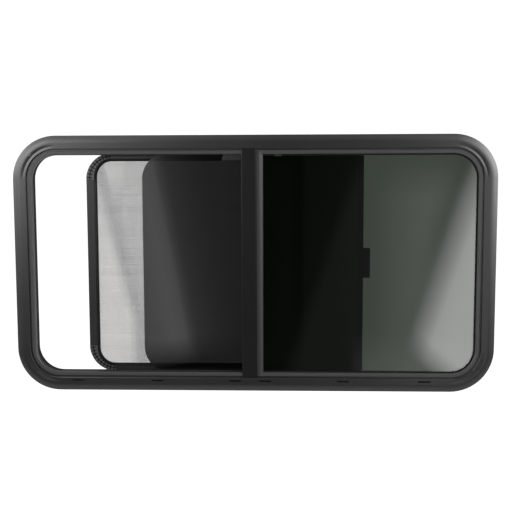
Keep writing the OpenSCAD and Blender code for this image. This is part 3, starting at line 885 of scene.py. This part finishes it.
def yarn_coating():
    coating = Finish("yarn_coating", Specular_IOR_Level=0.2)
    cloud = coating.noise(40 * MM, 2)
    coating.set(Base_Color=coating.mix(cloud, (0.01, 0.01, 0.01), (0.02, 0.02, 0.02)))
    coating.set(Roughness=0.4 + 0.1 * coating.noise(0.6 * MM))
    # Painted shade: a soft dark band, darker to the right of it, with painted light near the upper
    # left edge.
    across = coating.leaning(SHADE_BAND_LEAN)[0] - SHADE_BAND_PLACE
    across = across.math("MAXIMUM", across, coating.axis("X") - SHADE_BAND_END)
    painted_shade_band = coating.level(across, SHADE_BAND)
    painted_upper_light = coating.fade(coating.axis("Z"), 0.33, 0.42)
    painted_upper_light = painted_upper_light * coating.fade(coating.axis("X"), -0.235, -0.27)
    seep_with_painted_shade = painted_shade_band.math("MAXIMUM", painted_shade_band, 0.8 * painted_upper_light * coating.fade(across, 0.006, 0.014))
    seep_with_painted_shade = seep_with_painted_shade * (0.87 + 0.14 * cloud)
    dark = coating.other("ShaderNodeBsdfDiffuse", (0, 0, 0))
    light = coating.other("ShaderNodeBsdfTranslucent", SEEPING_LIGHT)
    coating.show(coating.between(SEEP_SHARE, coating.look, coating.between(seep_with_painted_shade, dark, light)))
    return coating


fly_mesh = piece("fly_mesh", mesh_points, mesh_faces, yarn_coating(), "fly_screen",
                 "screen_mesh")
dress(rubber("spline_rubber", 0.003, 0.7, 0.5 * MM, 0.05 * MM, 0.15), "screen_spline")

# %% [markdown]
# A strip of brush pile on the back of the mullion keeps rain and wind out of the gap to
# the sliding pane. It is a woven backing with rows of upright fibres. A box would look
# solid from behind, so each tuft is a handful of thin three-sided blades that lean a
# little, every one by its own seeded amount.

# %% Brush
TUFT_PITCH = 1.1 * MM
TUFT_ROWS = 4
TUFT_BLADES = 3
TUFT_SPREAD = 0.45 * MM
BLADE_W = 0.22 * MM
BLADE_SHORT = 0.5 * MM
BACKING_T = 0.8 * MM
BOX_SIDES = ((0, 1, 3, 2), (4, 6, 7, 5), (0, 4, 5, 1), (2, 3, 7, 6), (0, 2, 6, 4), (1, 5, 7, 3))


def add_blade(points, faces, root, low, high, draw):
    """A thin blade with three sides, from near its root to a tip that stays in the box."""
    def off():
        return draw.uniform(-TUFT_SPREAD, TUFT_SPREAD)

    foot = root + Vector((off(), 0, off()))
    tip = foot + Vector((off() * 0.6, 0, off()))
    tip.x = min(max(tip.x, low.x + BLADE_W), high.x - BLADE_W)
    tip.z = min(max(tip.z, low.z + BLADE_W), high.z - BLADE_W)
    tip.y = high.y - draw.uniform(0, BLADE_SHORT)
    first = len(points)
    points.extend(ring(foot, X_AXIS, Z_AXIS, BLADE_W / 2, 3))
    points.append(tip)
    faces.extend((first + k, first + (k + 1) % 3, first + 3) for k in range(3))
    faces.append((first + 2, first + 1, first))


def make_brush():
    low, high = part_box("mullion_brush")
    draw = random.Random(7)
    points, faces = [], []
    for row in range(TUFT_ROWS):
        x = low.x + (high.x - low.x) * (row + 0.5) / TUFT_ROWS
        for k in range(int((high.z - low.z) / TUFT_PITCH)):
            root = Vector((x, low.y + BACKING_T * 0.5, low.z + (k + 0.5) * TUFT_PITCH))
            for blade in range(TUFT_BLADES):
                add_blade(points, faces, root, low, high, draw)
    first = len(points)
    points.extend(Vector((x, y, z)) for x in (low.x, high.x) for y in (low.y, low.y + BACKING_T)
                  for z in (low.z, high.z))
    faces.extend(tuple(first + corner for corner in side) for side in BOX_SIDES)
    pile = Finish("brush_pile", Specular_IOR_Level=0.3)
    shade = pile.noise(1.5 * MM)
    pile.set(Base_Color=pile.mix(shade, (0.006, 0.006, 0.006), (0.018, 0.018, 0.018)))
    pile.set(Roughness=0.7 + 0.2 * shade)
    piece("brush_fibres", points, faces, pile, "frame", "mullion_brush")


make_brush()

# %% [markdown]
# The clamp ring is held by self-tapping screws with a pan head and a cross recess. A
# lathe would make the head; here rings of points do, whose radius follows the head's
# profile. The recess isn't cut out of the finished head: the points inside the cross
# simply sink as the ring is made, so no edge is left ragged.

# %% Screw head
HEAD_R = 4 * MM
HEAD_SIDES = 48
HEAD_RINGS = 14
HEAD_TIP = 0.02 * MM
CROSS_HALF_W = 0.55 * MM
CROSS_REACH = 2.1 * MM
CROSS_DEPTH = 1.3 * MM
CROSS_SLOPE = 0.35 * MM


def cross_depth(x, z):
    """Depth of the cross recess at a place on the head, with sloping walls."""
    near, far = sorted((abs(x), abs(z)))
    wall = min(CROSS_HALF_W - near, (CROSS_REACH - far) * 0.6)
    return CROSS_DEPTH * min(1.0, max(0.0, wall / CROSS_SLOPE))


def head_profile(height):
    """Radius and height of each ring, from the head's foot to its middle."""
    rings = [(HEAD_R, 0.0), (HEAD_R, height * 0.3)]
    for k in range(HEAD_RINGS + 1):
        r = HEAD_R * (1 - k / HEAD_RINGS) ** 0.9
        rise = height * (0.35 + 0.65 * math.sqrt(1 - (r / HEAD_R) ** 2.4))
        rings.append((max(r, HEAD_TIP), rise))
    return rings


def add_head(points, faces, foot, height):
    """A pan head that stands on its foot and bulges towards +Y."""
    first = len(points)
    rings = head_profile(height)
    for number, (r, rise) in enumerate(rings):
        for point in ring(foot + rise * Y_AXIS, X_AXIS, Z_AXIS, r, HEAD_SIDES):
            if number > 1:
                point.y -= cross_depth(point.x - foot.x, point.z - foot.z)
            points.append(point)
    faces.extend(ring_faces(first, len(rings), HEAD_SIDES))
    last = first + (len(rings) - 1) * HEAD_SIDES
    faces.append(tuple(last + c for c in reversed(range(HEAD_SIDES))))
    faces.append(tuple(first + c for c in range(HEAD_SIDES)))


print("head", 2 * HEAD_R / MM, "mm across")

# %% [markdown]
# The thread shows in the gap where the wall would be. A helix swept along the shank would
# need its own start and end; letting each row's radius rise once a turn gives the same
# ridge in one closed tube.

# %% Screw thread
SHANK_R = 1.8 * MM
THREAD_PITCH = 1.4 * MM
THREAD_SIDES = 14
THREAD_DEPTH = 0.35 * MM
ROWS_A_TURN = 4


def add_thread(points, faces, foot, top):
    """A shank with a raised thread from its foot up to a height along Y."""
    first = len(points)
    length = top - foot.y
    rows = int(length / (THREAD_PITCH / ROWS_A_TURN)) + 1
    for r in range(rows):
        y = length * r / (rows - 1)
        for c in range(THREAD_SIDES):
            turn = c / THREAD_SIDES
            crest = (y / THREAD_PITCH - turn) % 1.0
            radius = SHANK_R - THREAD_DEPTH * (1 - max(0.0, 1 - 4 * abs(crest - 0.5)))
            t = 2 * math.pi * turn
            points.append(foot + Vector((radius * math.cos(t), y, radius * math.sin(t))))
    faces.extend(ring_faces(first, rows, THREAD_SIDES))
    last = first + (rows - 1) * THREAD_SIDES
    faces.append(tuple(first + c for c in range(THREAD_SIDES)))
    faces.append(tuple(last + c for c in reversed(range(THREAD_SIDES))))


print("thread", THREAD_PITCH / MM, "mm a turn")

# %% [markdown]
# The screws stand where the packed piece has them, so they aren't counted out again: the
# highest points of that piece are gathered into lumps, and the middle of each lump is a
# screw. The steel is zinc plated, bright with a faint tarnish.

# %% Clamp screws
SAME_HEIGHT = 0.05 * MM
SAME_SCREW = 12 * MM


def screw_centres():
    """The middles of the screws, from the separate lumps of the packed node."""
    mesh = nodes["clamp_screws"].data
    co = np.zeros(len(mesh.vertices) * 3)
    mesh.vertices.foreach_get("co", co)
    co = co.reshape(-1, 3)
    lumps = []
    for place in co[co[:, 1] > co[:, 1].max() - SAME_HEIGHT][:, [0, 2]]:
        near = [lump for lump in lumps if np.hypot(*(lump[0] - place)) < SAME_SCREW]
        if near:
            near[0].append(place)
        else:
            lumps.append([place])
    return [(np.min(lump, axis=0) + np.max(lump, axis=0)) / 2 for lump in lumps]


def plated_steel():
    steel = Finish("screw_steel", Metallic=1.0)
    brushed = steel.noise(0.8 * MM, 3)
    tarnish = steel.noise(6 * MM, 3)
    steel.set(Base_Color=steel.mix(tarnish, (0.42, 0.42, 0.44), (0.6, 0.6, 0.6)))
    steel.set(Roughness=0.28 + 0.12 * brushed + 0.1 * tarnish)
    steel.relief(brushed, 0.01 * MM)
    return steel


def make_screws():
    low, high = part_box("clamp_screws")
    ring_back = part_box("clamp_ring")[1].y
    points, faces = [], []
    centres = screw_centres()
    for x, z in centres:
        add_head(points, faces, Vector((x, ring_back, z)), high.y - ring_back)
        add_thread(points, faces, Vector((x, low.y, z)), ring_back)
    screws = piece("ring_screws", points, faces, plated_steel(), "frame",
                   "clamp_screws", smooth_faces=True)
    smooth(screws)
    print(len(centres), "screws")


make_screws()

# %% Finish
bpy.context.scene.view_settings.view_transform = "Standard"
